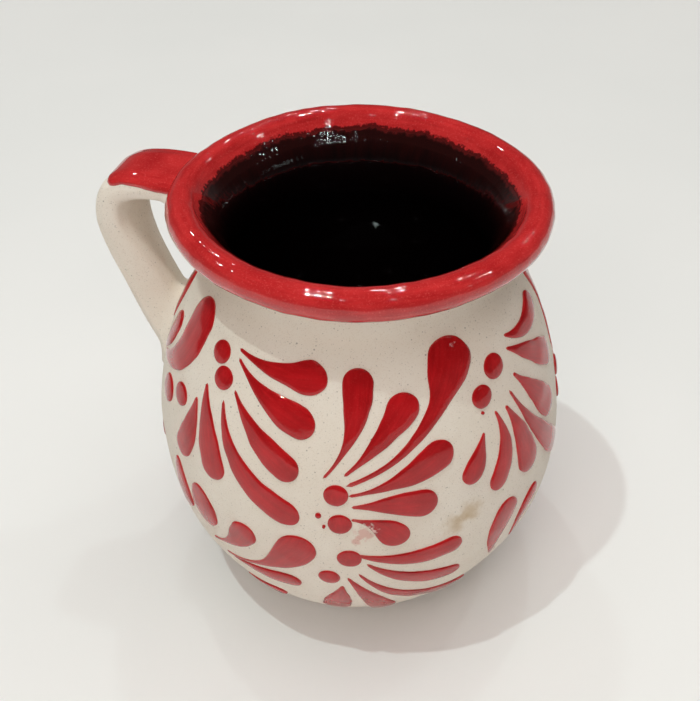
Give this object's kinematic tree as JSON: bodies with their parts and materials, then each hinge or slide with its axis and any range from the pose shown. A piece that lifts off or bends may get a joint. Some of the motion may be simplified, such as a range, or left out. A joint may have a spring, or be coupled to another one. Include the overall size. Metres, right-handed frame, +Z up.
{
  "type": "clay mug",
  "caption": "Hand-thrown jarrito mug: round clay belly, narrow neck, rolled red rim, pulled strap handle and raised red glaze strokes.",
  "frame": {"origin": "centre of the flat foot, on the plane it stands on", "axes": "+Z up along the axis of the mug, -Y towards the front, where the widest spray of strokes is; the handle is on the -X side, turned a little towards +Y"},
  "size_m": [0.1121, 0.1008, 0.109],
  "materials": {
    "clay": "matt fired cream clay with fine dark specks",
    "red_glaze": "glossy opaque red glaze",
    "dark_glaze": "glossy, nearly black glaze"
  },
  "bodies": {
    "root": {"clay_body": "clay", "strap_handle": "clay", "upper_luting": "clay", "lower_luting": "clay", "inner_glaze": "dark_glaze", "rim_glaze": "red_glaze", "handle_glaze": "red_glaze", "front_spray": "red_glaze", "front_dots": "red_glaze", "left_spray": "red_glaze", "left_dots": "red_glaze", "right_spray": "red_glaze", "right_dots": "red_glaze", "handle_side_spray": "red_glaze", "handle_side_dots": "red_glaze", "low_front_spray": "red_glaze", "low_front_dots": "red_glaze", "low_left_spray": "red_glaze", "low_right_spray": "red_glaze", "rear_right_spray": "red_glaze", "rear_right_dots": "red_glaze", "rear_spray": "red_glaze", "rear_dots": "red_glaze", "rear_left_spray": "red_glaze", "rear_left_dots": "red_glaze", "low_rear_right_spray": "red_glaze", "low_rear_spray": "red_glaze", "low_rear_left_spray": "red_glaze", "low_handle_spray": "red_glaze"}
  },
  "joints": []
}
